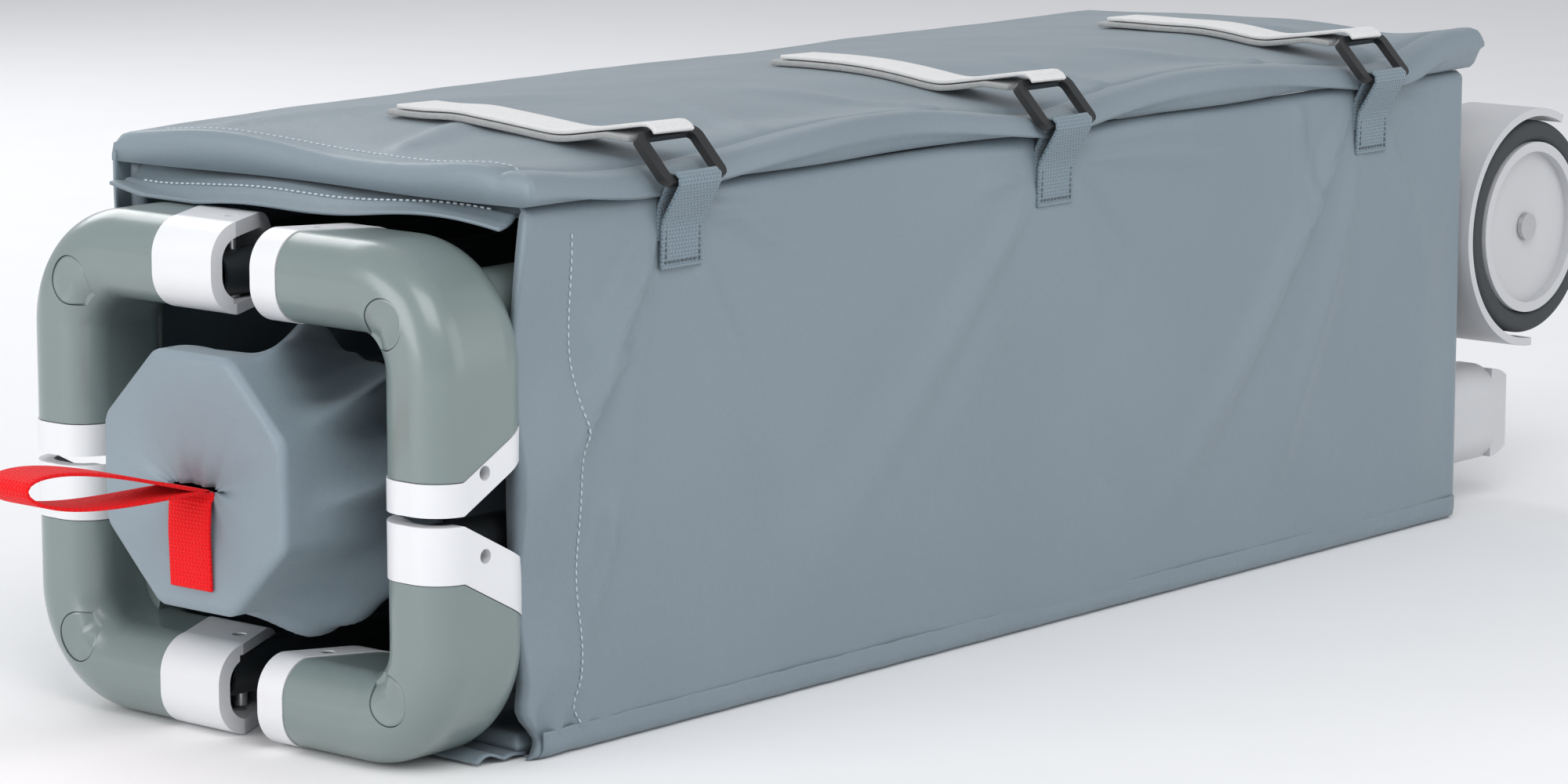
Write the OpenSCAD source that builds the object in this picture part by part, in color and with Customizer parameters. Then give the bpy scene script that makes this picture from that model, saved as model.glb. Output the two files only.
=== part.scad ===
// Folded travel playpen: the folded frame lies on its side inside its own four-panel mattress.
// +X runs along the folded legs, from the hub end to the wheel end. +Z is up, and the mattress's
// bottom panel rests on z = 0. "Near" is the -Y long side, "far" is the +Y one.

/* [Mattress wrap] */
// Length of the mattress panels, along X
wrap_l = 686; // [640:1:710]
// Width of the wrapped bundle, along Y
wrap_w = 242; // [240:1:256]
// Height of the wrapped bundle
wrap_h = 240; // [232:1:244]
// Thickness of one padded panel
panel_t = 10; // [8:1:11]
// Thickness of the stiff board inside a panel
board_t = 3; // [2:0.5:4]

/* [Closure straps] */
// Width of the hook-and-loop straps and webbing tabs
strap_w = 26; // [20:1:30]
// Length of a strap's free tail
tail_l = 146; // [80:1:160]
// Thickness of strap and webbing
strap_t = 1.6; // [1.2:0.1:2]
// Distance between neighbouring straps
strap_pitch = 255; // [200:1:260]

/* [Corner casings] */
// Overall width of the four casings
frame_w = 248; // [246:1:250]
// Overall height of the four casings
frame_h = 216; // [214:1:218]
// Thickness of a casing arm, towards the outside
arm_t = 38; // [36:1:40]
// Depth of a casing arm, along X
arm_d = 56; // [52:1:60]
// Outer radius of the elbow
elbow_r = 52; // [46:1:56]

/* [Tubes] */
// Leg tube diameter
leg_d = 25; // [22:0.5:26]
// Folding top rail tube diameter
rail_d = 20; // [18:0.5:20]
// Floor arm tube diameter
floor_d = 16; // [14:0.5:18]

/* [Hub] */
// Width of the octagonal hub cap across its flats
hub_af = 106; // [96:1:112]
// Length of the red pull loop
loop_l = 101; // [90:1:130]
// Width of the red pull webbing
loop_w = 25; // [20:1:30]

/* [Wheels] */
// Tyre diameter
wheel_d = 110; // [96:1:112]
// Tyre width
wheel_w = 22; // [18:1:24]

/* [Hidden] */
$fn = 64;

gap = 0.6;                       // clearance between moving panels
fit = 0.05;                      // radial running clearance of a pin or a wheel
zc = frame_h / 2 + 1;            // height of the frame's centre line
hy = frame_w / 2;
hz = frame_h / 2;
wrap_x = wrap_l / 2;
wrap_y = wrap_w / 2;
side_h = wrap_h - panel_t - gap; // height of the front and back panels

// Corner casings and the collars at their ends
case_x1 = -wrap_x - 2;           // back face of the casings
case_x0 = case_x1 - arm_d;       // front face
arm_r = 16;                      // rounding of the arm's section
arm_in = elbow_r - arm_t / 2;    // bend radius of the elbow's centre line
wall = 3;
pocket = 24;                     // depth of the hollow in an arm's end
end_z = hz - arm_t / 2;          // height of the end arms' centre, from the frame's centre
side_y = hy - arm_t / 2;         // distance of the side arms' centre, from the frame's centre
rail_z = end_z - 4;              // end rails lie a little further in than their arms
rail_y = side_y - 7;             // so do the side rails
pivot_x = case_x0 + 26;          // rail pivots, along X
rail_x0 = case_x0 + 12;
slot_w = rail_d + 1.4;
// Arm end, collar length and rail place, each measured from the frame's centre towards the corner
far_end = [41, 36, 20];
near_end = [33, 15, 33];
upper_side = [15, 14, 17];
lower_side = [27, 24, 17];
spigot = 12;
collar_lip = 0.8;
flat_d = 14;                     // an arm's end is straight over this depth, then slants away
slant = 22;                      // how far it slants, at the arm's back face

leg_y = 93;
leg_up = 78;                     // upper legs, above the frame's centre
leg_down = 63;                   // lower legs, below it
leg_x1 = wrap_x;
socket_l = 38;
end_rail_x1 = -wrap_x + 250;
side_rail_x1 = -wrap_x + 395;
latch_l = 52;
pin_d = 6;

// Hub
cap_t = 8;
cap_x0 = case_x0 - 17;
column_d = 50;
hub_x = -205;                    // floor arms pivot here
hub_len = 50;
hub_box = 66;
floor_in = 20;                   // floor arm pivots at the hub, from its centre line
floor_x1 = wrap_x + 6;
cap_z = zc + 4;
slit_z = zc + 2;
loop_t = 1.8;
loop_r = 10;
loop_root = 3;                   // half the gap between the strands at the slit

// Wheel end
wheel_x = wrap_x + 64;
wheel_z = zc + 34;
wheel_y = wrap_y - 10;           // wheel's middle plane
hood_in = wheel_d / 2 + 2.5;
hood_t = 4;
hood_w = 42;
hub_disc_r = 44;
axle_d = 8;
foot_x0 = wrap_x - 14;
foot_x1 = wrap_x + 64;

// Closure
bar = 3.6;
tab_l = 38;
base_l = tail_l + 4;
strap_x = [-strap_pitch, 0, strap_pitch];

// Square with true round corners, centred
module rrect(w, h, r) {
    square([w - 2 * r, h], center = true);
    square([w, h - 2 * r], center = true);
    for (sx = [-1, 1], sy = [-1, 1])
        translate([sx * (w / 2 - r), sy * (h / 2 - r)]) circle(r);
}

// Places a part in one quadrant of the frame: up and far are 1 or -1
module corner_of(up, far) {
    translate([0, 0, zc])
        mirror([0, far < 0 ? 1 : 0, 0])
            mirror([0, 0, up < 0 ? 1 : 0]) children();
}

// Straight length of an arm's section along Y, from y0 to y1, at height z
module along_y(y0, y1, z, w, d, r, x = 0) {
    translate([(case_x0 + case_x1) / 2 + x, y0, z])
        rotate([-90, 0, 0]) linear_extrude(y1 - y0) rrect(d, w, r);
}

// The same along Z, from z0 to z1, at distance y
module along_z(z0, z1, y, w, d, r, x = 0) {
    translate([(case_x0 + case_x1) / 2 + x, y, z0]) linear_extrude(z1 - z0) rrect(d, w, r);
}

module rod_x(x0, x1, y, z, d) {
    translate([x0, y, z]) rotate([0, 90, 0]) cylinder(h = x1 - x0, d = d);
}

// Round bar from point p to point q
module rod(p, q, d) {
    v = q - p;
    translate(p) rotate([0, acos(v.z / norm(v)), atan2(v.y, v.x)]) cylinder(h = norm(v), d = d);
}

function leg_z(up) = up > 0 ? leg_up : leg_down;
function end_arm(far) = far > 0 ? far_end : near_end;
function side_arm(up) = up > 0 ? upper_side : lower_side;

// Outline in plan of what lies beyond an arm's slanted end: x along the frame, y along the arm
module beyond(e) {
    far_away = 80;
    polygon([[case_x0 - 5, -far_away], [case_x0 - 5, e], [case_x0 + flat_d, e],
             [case_x1 + 5, e + slant * (arm_d + 5 - flat_d) / (arm_d - flat_d)],
             [case_x1 + 5, -far_away]]);
}
module beyond_end(e) {
    translate([0, 0, end_z - arm_t]) linear_extrude(2 * arm_t) beyond(e);
}
module beyond_side(e) {
    translate([0, side_y + arm_t, 0]) rotate([90, 0, 0]) linear_extrude(2 * arm_t) beyond(e);
}

// Holes for the pivot pins of an end rail and of a side rail
module end_pin_hole(place) {
    translate([pivot_x, place, end_z - arm_t]) cylinder(h = 2 * arm_t, d = pin_d + 2 * fit);
}
module side_pin_hole(place) {
    translate([pivot_x, side_y - arm_t, place]) rotate([-90, 0, 0])
        cylinder(h = 2 * arm_t, d = pin_d + 2 * fit);
}

// Slot in the back wall of an arm, in which the rail swings
module end_slot(place) {
    translate([case_x0 + 12, -1, rail_z - slot_w / 2]) cube([arm_d, place + slot_w / 2 + 1, slot_w]);
}
module side_slot(place) {
    translate([case_x0 + 12, rail_y - slot_w / 2, -1]) cube([arm_d, slot_w, place + slot_w / 2 + 1]);
}

// Rounded elbow of two hollow-ended arms, with the socket that holds the leg
module corner_casing(up, far) {
    ea = end_arm(far);
    sa = side_arm(up);
    color("#82908c") corner_of(up, far) difference() {
        union() {
            along_y(ea[0], hy - elbow_r, end_z, arm_t, arm_d, arm_r);
            along_z(sa[0], hz - elbow_r, side_y, arm_t, arm_d, arm_r);
            translate([(case_x0 + case_x1) / 2, hy - elbow_r, hz - elbow_r])
                rotate([0, 90, 0]) rotate([0, 0, 90])
                    rotate_extrude(angle = 90) translate([arm_in, 0]) rrect(arm_t, arm_d, arm_r);
            rod_x(case_x1 - 22, case_x1 + socket_l, leg_y, leg_z(up), leg_d + 6);
        }
        along_y(ea[0] - 1, ea[0] + pocket, end_z, arm_t - 2 * wall, arm_d - 2 * wall, arm_r - wall);
        along_z(sa[0] - 1, sa[0] + pocket, side_y, arm_t - 2 * wall, arm_d - 2 * wall, arm_r - wall);
        beyond_end(ea[0]);
        beyond_side(sa[0]);
        end_slot(ea[2]);
        side_slot(sa[2]);
        end_pin_hole(ea[2]);
        side_pin_hole(sa[2]);
        rod_x(case_x1 - 14, case_x1 + socket_l + 1, leg_y, leg_z(up), leg_d + 2 * fit);
        translate([case_x0 - 1, plug_y, plug_z]) rotate([90, 0, 90]) linear_extrude(6) plug_outline(0.3);
    }
}

// Drop-shaped outline whose corner points to the middle of the frame
plug_r = 10.5;
plug_y = hy - elbow_r + 21;
plug_z = hz - elbow_r + 21;
module plug_outline(extra) {
    circle(plug_r + extra);
    translate([-plug_r - extra, -plug_r - extra]) square(plug_r + extra);
}

// Push-in covers over the screw wells of the four casings
module corner_plugs() {
    color("#7d8b87") for (up = [-1, 1], far = [-1, 1]) corner_of(up, far)
        translate([case_x0 + 0.4, plug_y, plug_z]) rotate([90, 0, 90]) linear_extrude(4.4) plug_outline(0);
}

// Sleeve between an end arm and its rail: a band, a spigot inside the arm, and a mouth for the rail
module end_collar(up, far) {
    ea = end_arm(far);
    y0 = ea[0] - ea[1];
    color("#e4e6e8") corner_of(up, far) difference() {
        union() {
            intersection() {
                along_y(y0, ea[0] + slant, end_z, arm_t + collar_lip, arm_d + collar_lip, arm_r);
                beyond_end(ea[0] - 0.4);
            }
            along_y(ea[0] - 2, ea[0] + spigot, end_z,
                    arm_t - 2 * wall - 0.6, arm_d - 2 * wall - 0.6, arm_r - wall);
        }
        beyond_end(y0);
        along_y(y0 - 1, ea[0] + spigot + 1, end_z, arm_t - 4 * wall, arm_d - 4 * wall, arm_r - 2 * wall);
        end_slot(ea[2]);
        end_pin_hole(ea[2]);
    }
}

module side_collar(up, far) {
    sa = side_arm(up);
    z0 = sa[0] - sa[1];
    color("#e4e6e8") corner_of(up, far) difference() {
        union() {
            intersection() {
                along_z(z0, sa[0] + slant, side_y, arm_t + collar_lip, arm_d + collar_lip, arm_r);
                beyond_side(sa[0] - 0.4);
            }
            along_z(sa[0] - 2, sa[0] + spigot, side_y,
                    arm_t - 2 * wall - 0.6, arm_d - 2 * wall - 0.6, arm_r - wall);
        }
        beyond_side(z0);
        along_z(z0 - 1, sa[0] + spigot + 1, side_y, arm_t - 4 * wall, arm_d - 4 * wall, arm_r - 2 * wall);
        side_slot(sa[2]);
        side_pin_hole(sa[2]);
    }
}

// Tube with an open bore
module tube_x(x0, x1, y, z, d, t = 1.5) {
    difference() {
        rod_x(x0, x1, y, z, d);
        rod_x(x0 - 1, x1 + 1, y, z, d - 2 * t);
    }
}

module leg(up, far) {
    color("#3c4043") corner_of(up, far) tube_x(case_x1 - 13, leg_x1, leg_y, leg_z(up), leg_d);
}

// Half of an end rail, folded back beside the legs
module end_rail(up, far) {
    y = end_arm(far)[2];
    color("#2f3335") corner_of(up, far) difference() {
        tube_x(rail_x0 + 2, end_rail_x1, y, rail_z, rail_d);
        translate([pivot_x, y, rail_z]) cylinder(h = rail_d + 2, d = pin_d + 2 * fit, center = true);
        translate([end_rail_x1 - 16, y, rail_z])
            cylinder(h = rail_d + 2, d = pin_d + 2 * fit, center = true);
    }
}

module side_rail(up, far) {
    z = side_arm(up)[2];
    color("#2f3335") corner_of(up, far) difference() {
        tube_x(rail_x0 + 2, side_rail_x1, rail_y, z, rail_d);
        for (x = [pivot_x, side_rail_x1 - 16])
            translate([x, rail_y, z]) rotate([90, 0, 0])
                cylinder(h = rail_d + 2, d = pin_d + 2 * fit, center = true);
    }
}

// Latch that joins the two halves of an end rail
module end_latch(up) {
    y0 = -near_end[2] - rail_d / 2 - 2;
    y1 = far_end[2] + rail_d / 2 + 2;
    h = rail_d + 3.4;
    color("#4a4f52") translate([0, 0, zc + up * rail_z]) difference() {
        translate([end_rail_x1 - 30, y0, -h / 2]) cube([latch_l, y1 - y0, h]);
        for (y = [-near_end[2], far_end[2]]) {
            rod_x(end_rail_x1 - 31, end_rail_x1 + 0.5, y, 0, rail_d + 0.4);
            translate([end_rail_x1 - 16, y, 0]) cylinder(h = h + 2, d = pin_d + 2 * fit, center = true);
        }
        translate([end_rail_x1 - 31, -6, -h]) cube([22, 6, 2 * h]);
    }
}

module side_latch(far) {
    h = upper_side[2] + lower_side[2] + rail_d + 4;
    w = rail_d + 1.2;
    color("#4a4f52") translate([0, far * rail_y, zc]) difference() {
        translate([side_rail_x1 - 30, -w / 2, -h / 2]) cube([latch_l, w, h]);
        for (z = [-lower_side[2], upper_side[2]]) {
            rod_x(side_rail_x1 - 31, side_rail_x1 + 0.5, 0, z, rail_d + 0.4);
            translate([side_rail_x1 - 16, 0, z]) rotate([90, 0, 0])
                cylinder(h = w + 2, d = pin_d + 2 * fit, center = true);
        }
    }
}

// Pivot pins of the eight half rails, at the collars and at the latches, and of the floor arms
module pivot_pins() {
    color("silver") for (up = [-1, 1], far = [-1, 1]) corner_of(up, far) {
        y = end_arm(far)[2];
        z = side_arm(up)[2];
        translate([pivot_x, y, rail_z]) cylinder(h = arm_t - 8, d = pin_d, center = true);
        translate([end_rail_x1 - 16, y, rail_z]) cylinder(h = rail_d + 2, d = pin_d, center = true);
        for (x = [pivot_x, side_rail_x1 - 16])
            translate([x, rail_y, z]) rotate([90, 0, 0]) cylinder(h = rail_d + 1, d = pin_d, center = true);
    }
    color("silver") for (sz = [-1, 1])
        translate([hub_x, 0, zc + sz * floor_in]) rotate([90, 0, 0])
            cylinder(h = hub_box - 2, d = pin_d, center = true);
}

module panel(y, z, w, h) {
    translate([-wrap_x, y, z]) cube([wrap_l, w, h]);
}

// Padded panel along Y or Z with a closed pocket for its board
module padded(y, z, w, h) {
    m = 8;
    flat = w > h;
    p = board_t + 0.6;
    difference() {
        panel(y, z, w, h);
        translate([-wrap_x + m, flat ? y + m : y + (w - p) / 2, flat ? z + (h - p) / 2 : z + m])
            cube([wrap_l - 2 * m, flat ? w - 2 * m : p, flat ? p : h - 2 * m]);
    }
}
module board(y, z, w, h) {
    m = 8.3;
    flat = w > h;
    color("#8a6a48")
        translate([-wrap_x + m, flat ? y + m : y + (w - board_t) / 2, flat ? z + (h - board_t) / 2 : z + m])
            cube([wrap_l - 2 * m, flat ? w - 2 * m : board_t, flat ? board_t : h - 2 * m]);
}

bottom_box = [-wrap_y + panel_t + gap, 0, wrap_w - 2 * panel_t - 2 * gap, panel_t];
back_box = [wrap_y - panel_t, 0, panel_t, side_h];
front_box = [-wrap_y, 0, panel_t, side_h];
flap_box = [-wrap_y, wrap_h - panel_t, wrap_w, panel_t];

module mattress(b) {
    color("#7b8993") padded(b[0], b[1], b[2], b[3]);
}

// Hook-and-loop base tapes sewn on the flap, under the tails
module strap_bases() {
    color("#9aa0a2") for (x = strap_x)
        translate([x - strap_w / 2, -wrap_y + 6, wrap_h]) cube([strap_w, base_l, strap_t]);
}

// Free tail, from its hook over the ring's upper bar back along the flap
hook_r = bar / 2 + 1.5;
hook_turn = 65;                  // how far the tail's end turns down over the bar
bar_y = -wrap_y + 6;             // ring's upper bar
bar_z = wrap_h + 11;
module strap_tail(x) {
    color("#eceeee") translate([x + strap_w / 2 - 1, 0, 0]) rotate([0, -90, 0])
        linear_extrude(strap_w - 2) {
            translate([bar_z, bar_y]) intersection() {
                difference() {
                    circle(hook_r + strap_t);
                    circle(hook_r);
                }
                polygon([[0, 0], [20, 0], [20, -20], [20 * tan(90 - hook_turn), -20]]);
            }
            polygon([[bar_z + hook_r, bar_y - 0.1], [bar_z + hook_r + strap_t, bar_y - 0.1],
                     [wrap_h + 2 * strap_t + 1.2, bar_y + 34], [wrap_h + 2 * strap_t + 1.2, bar_y + tail_l],
                     [wrap_h + strap_t + 1.2, bar_y + tail_l], [wrap_h + strap_t + 1.2, bar_y + 33]]);
        }
}

// Rectangular rings tilted over the edge: upper bar over the flap, lower bar in its tab's loop
low_y = -wrap_y - 10;
low_z = wrap_h - 6;
ring_tilt = atan2(bar_z - low_z, bar_y - low_y);
ring_h = norm([bar_z - low_z, bar_y - low_y]);
module rings() {
    color("#191a1b") for (x = strap_x)
        translate([x, (bar_y + low_y) / 2, (bar_z + low_z) / 2])
            rotate([ring_tilt, 0, 0]) linear_extrude(bar, center = true) difference() {
                rrect(strap_w + 14, ring_h + bar, 5);
                rrect(strap_w + 3, ring_h - bar, 2);
            }
}

// Webbing tabs sewn to the front panel, each with a loop round the ring's lower bar
tab_r = 0.71 * bar + 0.4;         // clears the corners of the square bar
module ring_tabs() {
    color("#6e7d87") for (x = strap_x) {
        translate([x + 13, 0, 0]) rotate([0, -90, 0]) linear_extrude(strap_w) {
            translate([low_z - tab_l, -wrap_y - strap_t - 0.2]) square([tab_l - 14, strap_t + 0.2]);
            difference() {
                union() {
                    translate([low_z, low_y]) circle(tab_r + strap_t);
                    polygon([[low_z - 15, -wrap_y - strap_t - 0.2], [low_z - 15, -wrap_y],
                             [low_z - 13, -wrap_y], [low_z - 1, low_y + tab_r + strap_t],
                             [low_z - 1, low_y], [low_z - 3, low_y - 1]]);
                }
                translate([low_z, low_y]) circle(tab_r);
            }
        }
    }
}

module octagon(af, h) {
    rotate([0, 90, 0]) rotate([0, 0, 22.5]) cylinder(h = h, d = af / cos(22.5), $fn = 8);
}

// Octagonal end cap that the floor cloth covers, with a slit for the pull webbing
module hub_cap() {
    color("#6c7a84") difference() {
        translate([cap_x0, 0, cap_z]) octagon(hub_af, cap_t);
        translate([cap_x0 - 1, -loop_w / 2 - 1, slit_z - 4]) cube([cap_t + 2, loop_w + 2, 8]);
    }
}

// Hub: a tubular neck behind the cap and a block with four fork slots
module hub_housing() {
    color("#53585b") difference() {
        union() {
            rod_x(cap_x0 + cap_t, hub_x - hub_len / 2 + 1, 0, zc, column_d);
            translate([hub_x - hub_len / 2, -hub_box / 2, zc - hub_box / 2])
                cube([hub_len, hub_box, hub_box]);
        }
        rod_x(cap_x0 + cap_t - 1, hub_x - hub_len / 2 - 8, 0, zc, column_d - 6);
        for (sy = [-1, 1], sz = [-1, 1]) {
            translate([hub_x + 8, sy * (floor_in + 1), zc + sz * (floor_in + 1)]) cube([40, 22, 22], center = true);
            translate([hub_x, sy * floor_in, zc + sz * floor_in]) rotate([90, 0, 0])
                cylinder(h = 40, d = pin_d + 2 * fit, center = true);
        }
    }
}
// Four floor arms, from their forks in the hub towards the feet
module floor_arms() {
    color("#3c4043") for (up = [-1, 1], far = [-1, 1]) corner_of(up, far) difference() {
        rod([hub_x - 9, floor_in - 1, floor_in - 1], [floor_x1, 66, leg_z(up) - 24], floor_d);
        translate([hub_x, floor_in, floor_in]) rotate([90, 0, 0])
            cylinder(h = 60, d = pin_d + 2 * fit, center = true);
    }
}

// Floor cloth bunched behind the cap: a soft skirt round the hub's neck
cloth_x1 = -wrap_x + 20;
module floor_cloth() {
    color("#7b8993") difference() {
        union() {
            translate([cap_x0 + cap_t + 0.4, 0, cap_z]) octagon(hub_af - 2, 30);
            translate([cap_x0 + cap_t + 30, 0, zc]) octagon(hub_af + 12, cloth_x1 - cap_x0 - cap_t - 30);
        }
        rod_x(cap_x0, cloth_x1 + 1, 0, zc, column_d + 0.6);
    }
}

// Wall cloth folded flat between the legs
cloth_l = 290;
module wall_cloth() {
    color("#69757d") {
        for (s = [-1, 1])
            translate([cloth_l / 2 - wrap_x + 24, s * 61, zc]) cube([cloth_l, 20, 88], center = true);
        for (s = [-1, 1])
            translate([cloth_l / 2 - wrap_x + 24, -3, zc + s * 58]) cube([cloth_l, 54, 24], center = true);
    }
}

// Red pull webbing: a loop that stands out of the slit, leaning up a little
loop_rise = 14;
module pull_strap() {
    tip = cap_x0 - loop_l + loop_r;
    color("#e8121a") translate([0, loop_w / 2, 0]) rotate([90, 0, 0]) linear_extrude(loop_w) difference() {
        union() {
            translate([tip, slit_z + loop_rise]) circle(loop_r);
            polygon([[tip, slit_z + loop_rise + loop_r], [tip, slit_z + loop_rise - loop_r],
                     [cap_x0 - 0.4, slit_z - 2], [cap_x0 - 0.4, slit_z + 2]]);
        }
        translate([tip, slit_z + loop_rise]) circle(loop_r - loop_t);
        polygon([[tip, slit_z + loop_rise + loop_r - loop_t], [tip, slit_z + loop_rise - loop_r + loop_t],
                 [cap_x0 - 10, slit_z + 0.2], [cap_x0 - 10, slit_z + 1.2]]);
    }
}

// Short end of the same webbing, hanging below the slit
module pull_tail() {
    color("#e8121a")
        translate([cap_x0 - 0.5 - loop_t, -loop_w / 2, slit_z - 42]) cube([loop_t, loop_w, 32]);
}

// Wheel-side foot: a hood over the wheel's hub side, its inner web and the leg socket
module fender(far) {
    y0 = wheel_y - hood_w / 2 - 9;
    web = 5;
    boss_r = 12;
    color("#dfe1e3") corner_of(1, far) difference() {
        union() {
            translate([wheel_x, y0, wheel_z - zc]) rotate([-90, 0, 0]) {
                rotate([0, 0, 90]) rotate_extrude(angle = 205) {
                    translate([hood_in, 0]) square([hood_t, hood_w]);
                    translate([boss_r - 2, 0]) square([hood_in - boss_r + 3, web]);
                }
                cylinder(h = web, r = boss_r);
            }
            rod_x(wrap_x - 26, leg_x1 + 5, leg_y, leg_up, leg_d + 6);
        }
        rod_x(wrap_x - 27, leg_x1 + 0.4, leg_y, leg_up, leg_d + 2 * fit);
        translate([wheel_x, y0 - 1, wheel_z - zc]) rotate([-90, 0, 0]) cylinder(h = web + 2, d = axle_d + 2 * fit);
    }
}

// Plain foot: a rounded shoe on the leg's end
module foot(far) {
    w = 35;
    h = 50;
    r = 14;
    color("#dfe1e3") corner_of(-1, far) difference() {
        union() {
            translate([foot_x0, leg_y, leg_down]) rotate([90, 0, 90]) linear_extrude(foot_x1 - foot_x0 - r)
                rrect(w, h, r);
            translate([foot_x1 - r, leg_y, leg_down]) intersection() {
                rotate([90, 0, 0]) cylinder(h = w - 4, r = h / 2 - 2, center = true);
                translate([0, -w / 2, -h / 2]) cube([r, w, h]);
            }
        }
        rod_x(foot_x0 - 1, leg_x1 + 0.4, leg_y, leg_down, leg_d + 2 * fit);
    }
}

// Wheel: a dished disc with a boss, and the tyre round it
module wheel(far) {
    color("#d9dbdd") translate([wheel_x, far * wheel_y, wheel_z]) mirror([0, far < 0 ? 0 : 1, 0])
        rotate([90, 0, 0]) difference() {
            cylinder(h = wheel_w, r = hub_disc_r, center = true);
            translate([0, 0, wheel_w / 2 - 5]) cylinder(h = 6, r = hub_disc_r - 5);
            cylinder(h = wheel_w + 2, d = axle_d + 2 * fit, center = true);
            translate([0, 0, -wheel_w / 2 - 1]) difference() {
                cylinder(h = 11, r = hub_disc_r - 5);
                cylinder(h = 11, r = 10);
            }
        }
}
module tyre(far) {
    color("#3a3d3f") translate([wheel_x, far * wheel_y, wheel_z]) rotate([90, 0, 0])
        rotate_extrude() translate([(hub_disc_r + wheel_d / 2) / 2 + 0.05, 0])
            rrect(wheel_d / 2 - hub_disc_r - 0.1, wheel_w - 1, 4);
}

// Axles, fixed in the hoods' webs, with the round screw head outside each wheel
module axles() {
    color("silver") for (far = [-1, 1]) corner_of(1, far)
        translate([wheel_x, 0, wheel_z - zc]) rotate([-90, 0, 0]) {
            translate([0, 0, wheel_y - hood_w / 2 - 12]) cylinder(h = hood_w / 2 + 12 + wheel_w / 2 - 4.4, d = axle_d);
            translate([0, 0, wheel_y + wheel_w / 2 - 4.6]) cylinder(h = 2.6, r = 7);
        }
}

mattress(bottom_box);  // mattress_bottom
mattress(back_box);  // mattress_back
mattress(front_box);  // mattress_front
mattress(flap_box);  // mattress_flap
board(bottom_box[0], bottom_box[1], bottom_box[2], bottom_box[3]);  // board_bottom
board(back_box[0], back_box[1], back_box[2], back_box[3]);  // board_back
board(front_box[0], front_box[1], front_box[2], front_box[3]);  // board_front
board(flap_box[0], flap_box[1], flap_box[2], flap_box[3]);  // board_flap
strap_bases();
strap_tail(strap_x[0]);  // strap_tail_1
strap_tail(strap_x[1]);  // strap_tail_2
strap_tail(strap_x[2]);  // strap_tail_3
ring_tabs();
rings();
corner_casing(1, -1);  // corner_upper_near
corner_casing(1, 1);  // corner_upper_far
corner_casing(-1, -1);  // corner_lower_near
corner_casing(-1, 1);  // corner_lower_far
corner_plugs();
end_collar(1, -1);  // end_collar_upper_near
end_collar(1, 1);  // end_collar_upper_far
end_collar(-1, -1);  // end_collar_lower_near
end_collar(-1, 1);  // end_collar_lower_far
side_collar(1, -1);  // side_collar_upper_near
side_collar(1, 1);  // side_collar_upper_far
side_collar(-1, -1);  // side_collar_lower_near
side_collar(-1, 1);  // side_collar_lower_far
leg(1, -1);  // leg_upper_near
leg(1, 1);  // leg_upper_far
leg(-1, -1);  // leg_lower_near
leg(-1, 1);  // leg_lower_far
end_rail(1, -1);  // end_rail_upper_near
end_rail(1, 1);  // end_rail_upper_far
end_rail(-1, -1);  // end_rail_lower_near
end_rail(-1, 1);  // end_rail_lower_far
side_rail(1, -1);  // side_rail_upper_near
side_rail(1, 1);  // side_rail_upper_far
side_rail(-1, -1);  // side_rail_lower_near
side_rail(-1, 1);  // side_rail_lower_far
end_latch(1);  // end_latch_upper
end_latch(-1);  // end_latch_lower
side_latch(-1);  // side_latch_near
side_latch(1);  // side_latch_far
pivot_pins();
hub_cap();
hub_housing();
floor_arms();
floor_cloth();
wall_cloth();
pull_strap();
pull_tail();
fender(-1);  // fender_near
fender(1);  // fender_far
foot(-1);  // foot_near
foot(1);  // foot_far
wheel(-1);  // wheel_near
wheel(1);  // wheel_far
tyre(-1);  // tyre_near
tyre(1);  // tyre_far
axles();
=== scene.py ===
# %% [markdown]
# # A travel playpen, folded into its own mattress
# The playpen is packed for carrying. Its frame is folded together, and the four-panel mattress is
# wrapped round it and closed with three straps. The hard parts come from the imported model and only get
# better finishes here, apart from the four plugs in the casings. Those, the cloth and the webbing are made
# in this script.

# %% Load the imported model
import math

import bpy
import numpy as np
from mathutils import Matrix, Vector


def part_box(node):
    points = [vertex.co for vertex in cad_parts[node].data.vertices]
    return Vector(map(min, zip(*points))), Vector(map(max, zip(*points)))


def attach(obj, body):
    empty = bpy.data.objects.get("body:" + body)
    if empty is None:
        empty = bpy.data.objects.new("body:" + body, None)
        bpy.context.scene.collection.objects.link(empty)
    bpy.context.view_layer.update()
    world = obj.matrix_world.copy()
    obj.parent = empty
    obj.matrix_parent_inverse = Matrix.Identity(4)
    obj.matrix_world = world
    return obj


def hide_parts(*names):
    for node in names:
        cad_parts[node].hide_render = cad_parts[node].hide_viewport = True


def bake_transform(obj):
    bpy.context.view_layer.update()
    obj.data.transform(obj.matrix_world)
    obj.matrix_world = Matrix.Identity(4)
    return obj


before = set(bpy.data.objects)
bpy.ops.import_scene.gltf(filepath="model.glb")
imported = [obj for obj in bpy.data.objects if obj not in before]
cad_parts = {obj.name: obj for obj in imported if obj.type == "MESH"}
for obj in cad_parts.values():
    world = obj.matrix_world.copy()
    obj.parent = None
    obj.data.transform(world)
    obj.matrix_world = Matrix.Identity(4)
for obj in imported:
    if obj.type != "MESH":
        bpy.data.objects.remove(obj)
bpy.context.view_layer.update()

# %% [markdown]
# The camera stands low on the hub side of the bundle and looks along it, with a long lens, so that the
# lines of the wrap stay nearly parallel. The studio has four large soft lights and a pale world.

# %% Camera, lights and floor
MM = 0.001
WRAP_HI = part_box("mattress_flap")[1]
WRAP_X = WRAP_HI.x
WRAP_Y = WRAP_HI.y
WRAP_TOP = WRAP_HI.z


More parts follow.
